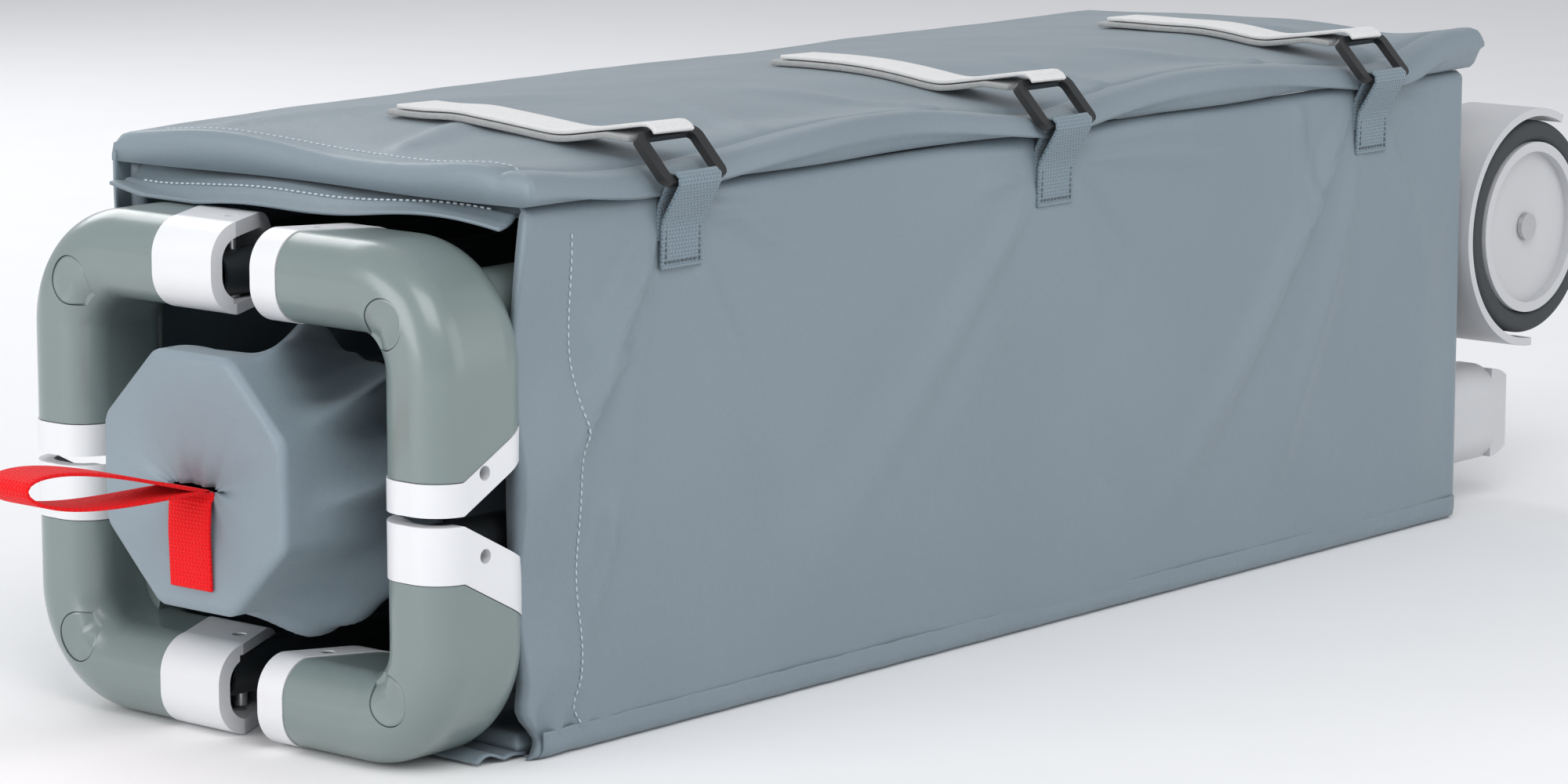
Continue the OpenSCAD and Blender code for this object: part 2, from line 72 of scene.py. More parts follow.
def add_camera(place, yaw, pitch, lens):
    """A camera at a place, turned to a heading and a downward pitch in degrees."""
    bpy.ops.object.camera_add(location=place, rotation=(math.radians(90 - pitch), 0, math.radians(yaw - 90)))
    camera = bpy.context.object
    camera.data.lens = lens
    camera.data.clip_end = 50
    bpy.context.scene.camera = camera
    return camera


def add_area(name, place, target, size, power, colour=(1, 1, 1)):
    """A soft square light that faces a point."""
    bpy.ops.object.light_add(type="AREA", location=place)
    light = bpy.context.object
    light.name = name
    light.data.size = size
    light.data.energy = power
    light.data.color = colour
    light.rotation_euler = (Vector(target) - Vector(place)).to_track_quat("-Z", "Y").to_euler()


camera = add_camera((-1.826, -1.520, 0.504), 40.47, 9.74, 117.1)
middle = (0, 0, 0.1)
add_area("key", (-1.2, -1.6, 2.2), middle, 1.6, 30)
add_area("front_fill", (0.9, -2.4, 0.9), middle, 1.8, 14)
add_area("hub_fill", (-2.4, 0.5, 0.8), middle, 1.4, 24)
add_area("back_rim", (0.6, 2.2, 1.6), middle, 1.4, 20)
world = bpy.data.worlds.new("studio")
world.use_nodes = True
world.node_tree.nodes["Background"].inputs["Color"].default_value = (0.93, 0.95, 1.0, 1)
world.node_tree.nodes["Background"].inputs["Strength"].default_value = 0.55
bpy.context.scene.world = world
bpy.context.scene.view_settings.view_transform = "Standard"
bpy.ops.object.select_all(action="DESELECT")
bpy.ops.mesh.primitive_plane_add(size=14, location=(0, 0, 0))
floor = bpy.context.object
floor.name = "studio_floor"
print("camera at", tuple(round(v, 2) for v in camera.location))

# %% [markdown]
# ## Finishes
# A finish is worked out as ordinary sums in Python. `Value` wraps a socket, so that `wave * 0.5 - 1` adds
# the Math nodes that it means, and `Finish` is one material: its `node` method adds any other node.
# Fibres, threads and mould texture are far too small to model, so they live in the bump of each finish.

# %% Shader values as Python expressions
class Value:
    """A socket on its way through a finish; arithmetic on it adds Math nodes."""

    def __init__(self, finish, socket):
        self.finish = finish
        self.socket = socket

    def math(self, operation, first, second=None):
        inputs = [first] if second is None else [first, second]
        return self.finish.node("ShaderNodeMath", {"operation": operation}, *inputs)

    def __add__(self, other):
        return self.math("ADD", self, other)

    __radd__ = __add__

    def __sub__(self, other):
        return self.math("SUBTRACT", self, other)

    def __mul__(self, other):
        return self.math("MULTIPLY", self, other)

    __rmul__ = __mul__

    def sin(self):
        return self.math("SINE", self)

    def size(self):
        return self.math("ABSOLUTE", self)


class Finish:
    """One material: its nodes are added through node(), and its shader is fed through set()."""

    def __init__(self, name, roughness=0.5, metallic=0.0, **constants):
        self.material = bpy.data.materials.new(name)
        self.material.use_nodes = True
        self.tree = self.material.node_tree
        self.shader = self.tree.nodes["Principled BSDF"]
        self.set("Roughness", roughness)
        self.set("Metallic", metallic)
        for socket, value in constants.items():
            self.set(socket.replace("_", " "), value)

    def set(self, socket, value):
        """Feeds a socket of the shader, with a constant or with a Value."""
        target = self.shader.inputs[socket]
        if isinstance(value, Value):
            self.tree.links.new(value.socket, target)
        else:
            target.default_value = value

    def node(self, kind, settings=None, *inputs, out=0, **named):
        """Adds a node, sets it up, fills its sockets in order or by name, and returns one output."""
        made = self.tree.nodes.new(kind)
        for key, value in (settings or {}).items():
            if key == "stops":
                self.fill_ramp(made.color_ramp, value)
            else:
                setattr(made, key, value)
        sockets = [(made.inputs[i], value) for i, value in enumerate(inputs)]
        sockets += [(made.inputs[key.replace("_", " ")], value) for key, value in named.items()]
        for socket, value in sockets:
            if isinstance(value, Value):
                self.tree.links.new(value.socket, socket)
            elif value is not None:
                socket.default_value = value
        return Value(self, made.outputs[out])

    def fill_ramp(self, ramp, stops):
        while len(ramp.elements) < len(stops):
            ramp.elements.new(0.5)
        for element, (place, colour) in zip(ramp.elements, stops):
            element.position = place
            element.color = (*colour, 1)

    def place(self):
        return self.node("ShaderNodeTexCoord", out=3)

    def uv(self):
        return self.node("ShaderNodeUVMap")

    def split(self, vector):
        """The three parts of a vector as Values."""
        first = self.node("ShaderNodeSeparateXYZ", None, vector)
        return [Value(self, first.socket.node.outputs[i]) for i in range(3)]

    def noise(self, vector, scale, detail=3, roughness=0.5):
        return self.node("ShaderNodeTexNoise", None, vector, Scale=scale, Detail=detail, Roughness=roughness)

    def colour_between(self, factor, low, high):
        """A colour that goes from low to high with a Value."""
        return self.node("ShaderNodeMix", {"data_type": "RGBA"}, out=2,
                         Factor=factor, A=(*low, 1), B=(*high, 1))

    def bump(self, height, distance, strength=1.0):
        """Feeds the shader's normal with a bump, whose height counts as so many metres of distance."""
        self.set("Normal", self.node("ShaderNodeBump", None, Height=height, Distance=distance,
                                     Strength=strength))


def linear(red, green, blue):
    """A colour named on the 0 to 255 scale of paint charts, as the linear values that shaders take."""
    return tuple(round((c / 255) ** 2.2, 4) for c in (red, green, blue))


# %% [markdown]
# The wrap is thin coated polyester over padding. It has a soft broad highlight, a very fine weave, faint
# storage creases that wander at random, and a shade that drifts a little from place to place.

# %% Cloth finishes
def coated_cloth(name, dark, light, roughness=0.46):
    finish = Finish(name, roughness, Sheen_Weight=0.12, Sheen_Roughness=0.4, Specular_IOR_Level=0.42)
    place = finish.place()
    broad = finish.noise(place, 9, 2)
    crease = finish.noise(place, 38, 4, 0.55)
    fine = finish.noise(place, 900, 2)
    x, y, z = finish.split(place)
    thread = (x * 9000).sin() * (y * 9000 + z * 9000).sin()
    finish.set("Base Color", finish.colour_between(broad * 0.7 + fine * 0.3, dark, light))
    finish.set("Roughness", roughness - 0.05 + broad * 0.1)
    finish.bump((crease - 0.5).size() * 1.6 + fine * 0.12 + thread * 0.02, 0.0011, 0.5)
    return finish.material


wrap_cloth = coated_cloth("wrap_cloth", linear(116, 129, 137), linear(130, 143, 151))
hub_cloth = coated_cloth("hub_cloth", linear(120, 134, 143), linear(136, 150, 158))
inner_cloth = coated_cloth("inner_cloth", linear(96, 108, 118), linear(110, 122, 132), 0.6)


def webbing(name, dark, light, along=620, sheen=0.25):
    """Woven strap: ribs across it and a fine zigzag of yarns, on the strap's own UV map in metres. Its colour
    carries painted shade in the weave's hollows.
    """
    finish = Finish(name, 0.75, Sheen_Weight=sheen, Sheen_Roughness=0.5, Specular_IOR_Level=0.3)
    u, v, w = finish.split(finish.uv())
    rib = (v * (2 * math.pi * along)).sin()
    zigzag = ((u * (2 * math.pi * along * 0.8)) + (v * (math.pi * along)).sin() * 1.4).sin()
    fuzz = finish.noise(finish.place(), 1400, 3)
    height = rib * 0.35 + zigzag * 0.35 + fuzz * 0.6
    # The colour follows the same height as the bump. This is painted shade in the weave's hollows and painted
    # light on its ribs, with random tone from the fuzz.
    finish.set("Base Color", finish.colour_between(height * 0.4 + 0.4, dark, light))
    finish.bump(height, 0.0005, 0.8)
    return finish.material


tab_webbing = webbing("tab_webbing", linear(92, 108, 118), linear(140, 156, 166))
red_webbing = webbing("red_webbing", linear(205, 0, 10), linear(255, 4, 24), sheen=0.04)


def fuzzy_tape(name, dark, light):
    """Hook-and-loop tape: short brushed fibres over a close weave, with painted shade between the fibres."""
    finish = Finish(name, 0.85, Sheen_Weight=0.5, Sheen_Roughness=0.6)
    place = finish.place()
    fibre = finish.noise(place, 1100, 5, 0.7)
    tuft = finish.noise(place, 260, 2)
    height = fibre * 0.7 + tuft * 0.3
    # The colour follows the fibres' height. It is painted shade where the fibres lie low, mixed with random
    # tone from the fibres and tufts.
    finish.set("Base Color", finish.colour_between(height, dark, light))
    finish.bump(height, 0.0012, 0.8)
    return finish.material


white_tape = fuzzy_tape("white_tape", linear(205, 205, 204), linear(245, 244, 242))
loop_tape = fuzzy_tape("loop_tape", linear(120, 122, 122), linear(190, 192, 190))

# %% [markdown]
# Moulded plastic keeps a little of the mould's texture, has a thin coat of gloss, and scuffs where hands
# and floors touch it. One function makes every plastic of the frame, with its own colours and gloss.

# %% Hard finishes
def moulded(name, dark, light, roughness, coat=0.0, grain=700, depth=0.00012):
    finish = Finish(name, roughness, Coat_Roughness=0.18, Specular_IOR_Level=0.5)
    place = finish.place()
    cloud = finish.noise(place, 14, 3)
    pebble = finish.noise(place, grain, 2)
    scuff = finish.node("ShaderNodeValToRGB", {"stops": [(0.55, (0, 0, 0)), (0.75, (1, 1, 1))]},
                        finish.noise(place, 60, 6, 0.7))
    finish.set("Base Color", finish.colour_between(cloud * 0.8 + pebble * 0.2, dark, light))
    finish.set("Roughness", roughness + cloud * 0.06 + scuff * 0.07)
    finish.set("Coat Weight", coat + scuff * (-0.3 * coat))
    finish.bump(pebble, depth, 0.4)
    return finish.material


casing_green = moulded("casing_green", linear(112, 125, 123), linear(122, 135, 133), 0.3, 0.5)
collar_grey = moulded("collar_grey", linear(214, 215, 217), linear(226, 227, 229), 0.36, 0.25)
foot_grey = moulded("foot_grey", linear(186, 187, 189), linear(200, 201, 203), 0.42, 0.15)
ring_black = moulded("ring_black", linear(20, 21, 22), linear(34, 35, 36), 0.4, 0.2)
dark_plastic = moulded("dark_plastic", linear(58, 62, 65), linear(74, 78, 80), 0.55)
tyre_rubber = moulded("tyre_rubber", linear(52, 56, 58), linear(68, 72, 74), 0.72, grain=1200, depth=0.0004)
hardboard = moulded("hardboard", linear(110, 82, 56), linear(136, 104, 74), 0.8, grain=300, depth=0.0003)


def metal(name, shade, roughness, metallic, streak):
    """Tube or pin: fine lines drawn along it, a little rougher in the streaks."""
    finish = Finish(name, roughness, metallic)
    x, y, z = finish.split(finish.place())
    lines = finish.noise(finish.node("ShaderNodeCombineXYZ", None, x * 30, y * streak, z * streak), 1, 4)
    finish.set("Base Color", finish.colour_between(lines, [c * 0.8 for c in shade], shade))
    finish.set("Roughness", roughness + lines * 0.15)
    finish.bump(lines, 0.0001, 0.3)
    return finish.material


dark_tube = metal("dark_tube", linear(52, 56, 59), 0.4, 0.25, 700)
steel = metal("steel", linear(205, 206, 206), 0.22, 1.0, 900)
print("finishes:", len(bpy.data.materials))

# %% [markdown]
# Each CAD node that stays in view takes the finish of the real piece. The names say what each one is.

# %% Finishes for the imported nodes
NODE_FINISH = {
    "corner_upper": casing_green, "corner_lower": casing_green, "corner_plugs": casing_green,
    "end_collar": collar_grey, "side_collar": collar_grey,
    "leg_": dark_tube, "end_rail": dark_tube, "side_rail": dark_tube, "floor_arms": dark_tube,
    "end_latch": dark_plastic, "side_latch": dark_plastic, "hub_housing": dark_plastic,
    "hub_cap": dark_plastic,
    "pivot_pins": steel, "axles": steel, "board": hardboard, "rings": ring_black,
    "fender": foot_grey, "foot": foot_grey, "wheel_": foot_grey, "tyre": tyre_rubber,
    "mattress": wrap_cloth, "floor_cloth": hub_cloth, "wall_cloth": inner_cloth,
    "strap_bases": loop_tape, "strap_tail": white_tape, "ring_tabs": tab_webbing, "pull": red_webbing,
}
for name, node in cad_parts.items():
    finish = next(found for start, found in NODE_FINISH.items() if name.startswith(start))
    node.data.materials.clear()
    node.data.materials.append(finish)
    node.select_set(False)
print("packed nodes with a finish:", len(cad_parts))
floor.data.materials.append(moulded("floor_white", (0.9, 0.9, 0.9), (0.94, 0.94, 0.94), 0.9))

# %% [markdown]
# ## The mattress wrap
# The four panels are thin pads in coated cloth. Each one is made as two fine grids, an outer face and an
# inner face, joined round their edges. Fine rows near the edges let the face roll over, and folds are
# raised along the lines where the three ring tabs pull on the cloth.

# %% Cloth builders
def rows(length, edge=0.009, fine=5, step=0.0042):
    """Places of grid rows along a length: close together near both ends, even in between."""
    near = np.linspace(0, edge, fine + 1)
    count = max(2, round((length - 2 * edge) / step))
    return np.concatenate([near[:-1], np.linspace(edge, length - edge, count + 1), length - near[::-1][1:]])


def sheet_grid(name, us, vs, place):
    """A grid whose lines stand at us and vs, in metres, with its vertices where place(u, v) says."""
    bpy.ops.object.select_all(action="DESELECT")
    bpy.ops.mesh.primitive_grid_add(x_subdivisions=len(us) - 1, y_subdivisions=len(vs) - 1, size=2)
    piece = bpy.context.object
    piece.name = name
    flat = np.empty(3 * len(piece.data.vertices))
    piece.data.vertices.foreach_get("co", flat)
    flat = flat.reshape(-1, 3)
    u = np.asarray(us)[np.rint((flat[:, 0] + 1) / 2 * (len(us) - 1)).astype(int)]
    v = np.asarray(vs)[np.rint((flat[:, 1] + 1) / 2 * (len(vs) - 1)).astype(int)]
    spots = np.stack(np.broadcast_arrays(*place(u, v)), axis=1)
    corner = np.array([loop.vertex_index for loop in piece.data.loops])
    piece.data.uv_layers[0].data.foreach_set("uv", np.stack([u[corner], v[corner]], axis=1).ravel())
    piece.data.vertices.foreach_set("co", spots.ravel())
    piece.data.update()
    return piece


def weld(close=False):
    """Joins the meeting edges of the grid just made, fills its open ends if asked, and faces it outwards."""
    bpy.ops.object.mode_set(mode="EDIT")
    bpy.ops.mesh.select_all(action="SELECT")
    bpy.ops.mesh.remove_doubles(threshold=0.00001)
    if close:
        bpy.ops.mesh.select_all(action="DESELECT")
        bpy.ops.mesh.select_non_manifold()
        bpy.ops.mesh.edge_face_add()
        bpy.ops.mesh.select_all(action="SELECT")
    bpy.ops.mesh.normals_make_consistent(inside=False)
    bpy.ops.object.mode_set(mode="OBJECT")


def thicken(piece, thickness, offset=0):
    """Gives an open cloth its thickness: to both sides of it, or to its back with an offset of -1."""
    bpy.ops.object.modifier_add(type="SOLIDIFY")
    piece.modifiers["Solidify"].thickness = thickness
    piece.modifiers["Solidify"].offset = offset
    bpy.ops.object.modifier_apply(modifier="Solidify")


def padded_panel(name, us, vs, outer, inner, body, node, material):
    """A closed pad that stands for one packed panel and moves with its body."""
    back = sheet_grid(name + "_inner", us, vs, inner)
    pad = sheet_grid(name, us, vs, outer)
    back.select_set(True)
    bpy.ops.object.join()
    bpy.ops.object.mode_set(mode="EDIT")
    bpy.ops.mesh.select_mode(type="EDGE")
    bpy.ops.mesh.select_all(action="DESELECT")
    bpy.ops.mesh.select_non_manifold()
    bpy.ops.mesh.bridge_edge_loops()
    bpy.ops.mesh.select_all(action="SELECT")
    bpy.ops.mesh.normals_make_consistent(inside=False)
    bpy.ops.object.mode_set(mode="OBJECT")
    bpy.ops.object.shade_smooth()
    pad.data.materials.append(material)
    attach(pad, body)
    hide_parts(node)
    return pad


def cloth_strip(name, us, vs, place, body, material, thick=0.0012):
    """An open cloth with a real thickness, grown to both sides of the surface."""
    strip = sheet_grid(name, us, vs, place)
    thicken(strip, thick)
    bpy.ops.object.shade_smooth()
    strip.data.materials.append(material)
    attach(strip, body)
    return strip


# %% [markdown]
# Folds are described on the panel itself, in metres: where one starts, where it ends, how wide and high it
# is at its start. It is steeper on one side, as pulled cloth is, and dies out towards its end.

# %% Shapes of folds, rims and waves
def smooth(value, low, high):
    """0 below low, 1 above high and a soft step between."""
    t = np.clip((value - low) / (high - low), 0, 1)
    return t * t * (3 - 2 * t)


def fold(x, z, start, end, width, height, spread=2.4, bow=0.0):
    """The height of one fold over the points of a panel."""
    run = np.array(end) - np.array(start)
    size = np.hypot(*run)
    along = ((x - start[0]) * run[0] + (z - start[1]) * run[1]) / size ** 2
    across = ((x - start[0]) * run[1] - (z - start[1]) * run[0]) / size
    across = across - bow * np.sin(np.pi * np.clip(along, 0, 1))
    wide = width * (1 + spread * np.clip(along, 0, 1))
    lean = np.where(across > 0, 1.0, 0.55)
    shape = np.exp(-(across / (wide * lean)) ** 2)
    return height * shape * smooth(along, -0.06, 0.1) * (1 - smooth(along, 0.45, 1.05))


def rim(distance, radius):
    """How far a face has rolled back at a distance from its edge."""
    inside = np.clip(radius - distance, 0, radius)
    return radius - np.sqrt(np.clip(radius ** 2 - inside ** 2, 0, None))


def wander(x, z, scale, seed):
    """A slow, natural unevenness between -1 and 1."""
    total = 0
    for turn in range(5):
        angle = seed + 2.4 * turn
        place = x * np.cos(angle) + z * np.sin(angle)
        total = total + np.sin(place * scale * (0.7 + 0.35 * turn) + seed * turn)
    return total / 5


RING_X = (-0.255, 0.0, 0.255)
print("wrap, mm:", [round(v / MM) for v in WRAP_HI])

# %% [markdown]
# The front panel hangs from the three tabs. Long folds run down from the tabs, the hub end flares out into
# a stitched hem, and the bottom corner under it is gathered.

# %% Front panel
FRONT_LO, FRONT_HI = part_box("mattress_front")
FRONT_TOP = FRONT_HI.z
FRONT_FOLDS = [
    ((-0.270, 0.212), (-0.337, 0.100), 0.0050, 0.0066, 1.6, 0.003),
    ((-0.286, 0.168), (-0.332, 0.104), 0.0030, 0.0034, 0.8, 0.008),
    ((-0.298, 0.104), (-0.324, 0.012), 0.0060, 0.0052, 0.5, 0.002),
    ((-0.274, 0.205), (-0.306, 0.064), 0.0070, 0.0026, 1.5, 0.0),
    ((-0.242, 0.198), (-0.186, 0.084), 0.0050, 0.0030, 3.0, 0.0),
    ((-0.240, 0.224), (-0.160, 0.188), 0.0034, 0.0036, 2.0, 0.0),
    ((-0.240, 0.220), (-0.186, 0.216), 0.0030, 0.0030, 1.2, 0.0),
    ((-0.030, 0.158), (-0.150, 0.032), 0.0120, 0.0026, 1.5, 0.0),
    ((-0.016, 0.201), (-0.175, 0.036), 0.0050, 0.0044, 3.2, 0.006),
    ((-0.018, 0.214), (-0.062, 0.206), 0.0030, 0.0034, 1.5, 0.0),
    ((-0.018, 0.222), (-0.070, 0.229), 0.0035, 0.0034, 1.5, 0.0),
    ((0.016, 0.208), (0.080, 0.136), 0.0045, 0.0028, 3.0, 0.0),
    ((0.020, 0.217), (0.185, 0.200), 0.0050, 0.0040, 1.6, -0.004),
    ((0.240, 0.222), (0.058, 0.012), 0.0042, 0.0056, 2.6, -0.006),
    ((0.246, 0.194), (0.158, 0.012), 0.0046, 0.0044, 2.2, -0.004),
    ((0.196, 0.228), (0.203, 0.158), 0.0026, 0.0042, 1.4, 0.0),
    ((0.270, 0.214), (0.308, 0.126), 0.0040, 0.0028, 2.4, 0.0),
    ((0.270, 0.222), (0.322, 0.208), 0.0034, 0.0026, 1.4, 0.0),
]


def front_face(u, v):
    x = WRAP_X * -1 + u
    z = FRONT_LO.z + v
    depth = FRONT_TOP - z
    lift = sum(fold(x, z, *shape) for shape in FRONT_FOLDS)
    lift = lift + 0.0012 * wander(x, z, 22, 0.7) + 0.0006 * wander(x, z, 60, 2.1)
    pull = sum(np.exp(-((x - ring) / 0.034) ** 2) for ring in RING_X) * np.exp(-(depth / 0.030) ** 2)
    slack = 1 - smooth(np.abs(x), 0.30, 0.343)
    sag = 0.0035 * slack * np.sin(np.pi * np.clip(z / FRONT_TOP, 0, 1))
    from_end = x + WRAP_X
    from_far = WRAP_X - x
    roll = np.maximum.reduce([rim(from_far, 0.005), rim(depth, 0.006), rim(z - FRONT_LO.z, 0.004)])
    hem = 1 - smooth(from_end, 0.018, 0.034)
    hem_wave = 0.003 * np.sin(z * 62 + 0.6) * smooth(z, 0.02, 0.05) + 0.0026 * np.sin(z * 24 - 0.5)
    corner = (1 - smooth(from_end, 0.0, 0.055)) * (1 - smooth(z, 0.004, 0.038))
    gather = corner * 0.0026 * np.sin(from_end * 420 - z * 260)
    lift = (lift + sag + gather) * smooth(from_far, 0, 0.02) * smooth(z, 0, 0.014) * (1 - 0.75 * pull)
    y = FRONT_LO.y - lift * smooth(depth, 0, 0.012) - hem * hem_wave + roll
    flare = 0.010 * hem * np.sin(np.pi * np.clip(z / FRONT_TOP, 0, 1)) ** 0.8 * (1 - from_end / 0.034)
    x = x - np.clip(flare, 0, None) + 0.006 * corner * np.sin(z * 190)
    wave = 0.0016 * wander(x, z * 0, 30, 1.3) * (1 - smooth(depth, 0.0, 0.012))
    return x, y, z + wave


def front_back(u, v):
    x, y, z = front_face(u, v)
    from_end = u
    thin = 1 - smooth(from_end, 0.010, 0.032)
    inner = FRONT_HI.y - 0.004 * thin
    edge = np.maximum.reduce([rim(2 * WRAP_X - u, 0.004), rim(FRONT_TOP - z, 0.004), rim(v, 0.004)])
    return x, np.maximum(inner - edge, y + 0.0012), z


front_us = rows(2 * WRAP_X, 0.012, 6)
front_vs = rows(FRONT_TOP - FRONT_LO.z, 0.009, 5)
wrap_front = padded_panel("wrap_front", front_us, front_vs, front_face, front_back,
                          "front_panel", "mattress_front", wrap_cloth)
print("front panel faces:", len(wrap_front.data.polygons))

# %% [markdown]
# The flap lies over the top. Each ring pulls its front edge down, so the edge lifts between the rings and
# shows dark gaps over the front panel. At the wheel end it runs a little past the corner.

# %% Flap
FLAP_LO, FLAP_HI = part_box("mattress_flap")
FLAP_FOLDS = [
    ((-0.325, 0.095), (-0.120, 0.020), 0.0080, 0.0026, 2.0, 0.0),
    ((-0.330, -0.030), (-0.220, 0.010), 0.0060, 0.0022, 1.6, 0.0),
    ((-0.180, -0.100), (-0.120, 0.020), 0.0050, 0.0020, 2.0, 0.0),
    ((-0.060, -0.108), (-0.100, 0.000), 0.0040, 0.0018, 2.6, 0.0),
    ((0.060, -0.108), (0.110, 0.000), 0.0040, 0.0022, 2.6, 0.0),
    ((0.190, -0.110), (0.150, -0.010), 0.0040, 0.0020, 2.6, 0.0),
    ((0.280, -0.110), (0.310, 0.000), 0.0050, 0.0022, 2.4, 0.0),
]


def flap_lift(x, y):
    """How far the flap rises off its flat place: crowned in the middle, lifted between the rings."""
    between = np.abs(np.sin(np.pi * (x + 0.255) / 0.255)) ** 1.3
    between = np.where(x < -0.255, 0.45 * smooth(-0.255 - x, 0.02, 0.08), between)
    between = np.where(x > 0.255, 1.2 * smooth(x - 0.255, 0.02, 0.08), between)
    edge = 1 - smooth(y + WRAP_Y, 0.0, 0.060)
    inward = y + WRAP_Y
    crown = smooth(inward, 0.0, 0.11) * 0.0085 - 0.003 * smooth(inward, 0.15, 2 * WRAP_Y)
    dip = -0.0035 * (1 - smooth(inward, 0.0, 0.03)) * (1 - between)
    wide = smooth(x + WRAP_X, 0, 0.12) * 0.4 + 0.6
    uneven = 0.0012 * wander(x, y, 14, 0.4) * smooth(inward, 0.02, 0.1)
    return 0.0080 * between * edge + crown * wide + dip + uneven


def flap_edges(u, v):
    """The flap's outline, a little wavy and longer at the hub end and at the wheel end's front corner."""
    x = u - WRAP_X
    y = v - WRAP_Y
    near = 1 - smooth(v, 0.0, 0.030)
    hub = 1 - smooth(u, 0.0, 0.045)
    wheel = smooth(u, 2 * WRAP_X - 0.060, 2 * WRAP_X)
    x = x - hub * (0.004 + 0.003 * np.sin(v * 34)) + wheel * 0.012 * (1 - smooth(v, 0.02, 0.16))
    y = y - near * (0.004 + 0.0022 * np.sin(u * 41 + 0.8))
    return x, y


def flap_top(u, v):
    x, y = flap_edges(u, v)
    from_near, from_back = v, 2 * WRAP_Y - v
    from_hub, from_wheel = u, 2 * WRAP_X - u
    roll = np.maximum.reduce([rim(from_near, 0.008), rim(from_back, 0.009), rim(from_hub, 0.004),
                              rim(from_wheel, 0.005)])
    lift = sum(fold(x, y, *shape) for shape in FLAP_FOLDS)
    lift = lift + 0.0011 * wander(x, y, 20, 1.9) + 0.0006 * wander(x, y, 70, 0.3)
    seam = -0.0016 * np.exp(-((v - 0.016) / 0.0016) ** 2)
    curl = 0.0028 * (1 - smooth(from_hub, 0, 0.03)) * np.sin(v * 40 + 0.5)
    inside = smooth(from_near, 0, 0.012) * smooth(from_back, 0, 0.014) * smooth(from_wheel, 0, 0.014)
    return x, y, FLAP_HI.z - roll + lift * inside + flap_lift(x, y) + seam + curl


def flap_under(u, v):
    x, y, z = flap_top(u, v)
    edge = rim(v, 0.004) + rim(2 * WRAP_X - u, 0.004)
    low = FLAP_LO.z + 0.75 * np.maximum(flap_lift(x, y), 0) * (1 - smooth(v, 0.001, 0.006)) + edge
    return x, y, np.minimum(low, z - 0.0015)


flap_us = rows(2 * WRAP_X, 0.009, 5)
flap_vs = rows(2 * WRAP_Y, 0.018, 12)
wrap_flap = padded_panel("wrap_flap", flap_us, flap_vs, flap_top, flap_under,
                         "flap", "mattress_flap", wrap_cloth)
print("flap faces:", len(wrap_flap.data.polygons))

# %% [markdown]
# The back and bottom panels are plain pads. Their faces are crowned a little, and their edges are rolled.

# %% Back and bottom panels
def plain_panel(name, node, body, across, out, seed):
    """A pad on one packed panel. across is the axis of its width, out its outward axis with a sign."""
    lo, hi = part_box(node)
    axis, side = out
    width = hi[across] - lo[across]
    us = rows(2 * WRAP_X, 0.009, 4, 0.008)
    vs = rows(width, 0.009, 4, 0.008)

    def face(u, v, outward):
        distance = np.minimum(np.minimum(u, 2 * WRAP_X - u), np.minimum(v, width - v))
        spot = [None, None, None]
        spot[0] = u - WRAP_X
        spot[across] = lo[across] + v
        crown = 0.0012 * wander(u, v, 24, seed) * smooth(distance, 0, 0.02) - rim(distance, 0.0045)
        base = hi[axis] if side * outward > 0 else lo[axis]
        spot[axis] = base + side * outward * crown
        return spot

    return padded_panel(name, us, vs, lambda u, v: face(u, v, 1), lambda u, v: face(u, v, -1),
                        body, node, wrap_cloth)


plain_panel("wrap_back", "mattress_back", "back_panel", 2, (1, 1), 0.9)
plain_panel("wrap_bottom", "mattress_bottom", "frame", 1, (2, -1), 1.7)

# %% [markdown]
# ## The hub cover
# The playpen's floor cloth is pulled over the octagonal hub and hangs back round it in deep folds. It is
# one sheet: flat over the cap, creased at the slit for the pull webbing, turned over the rim, and then
# gathered towards the frame.

# %% Cloth over the hub
CAP_LO, CAP_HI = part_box("hub_cap")
CLOTH_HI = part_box("floor_cloth")[1]
CAP_Z = (CAP_LO.z + CAP_HI.z) / 2
CAP_FLAT = CAP_HI.z - CAP_Z
SLIT_Z = CAP_Z - 0.002
RIM_PATH = 0.060
TURN_PATH = 0.072
BACK_PATH = 0.175


def octagon(angle):
    """Distance of an upright octagon's edge from its middle, with slightly soft corners."""
    off = np.mod(angle + np.pi / 8, np.pi / 4) - np.pi / 8
    return CAP_FLAT * np.minimum(1 / np.cos(off), 1.066)


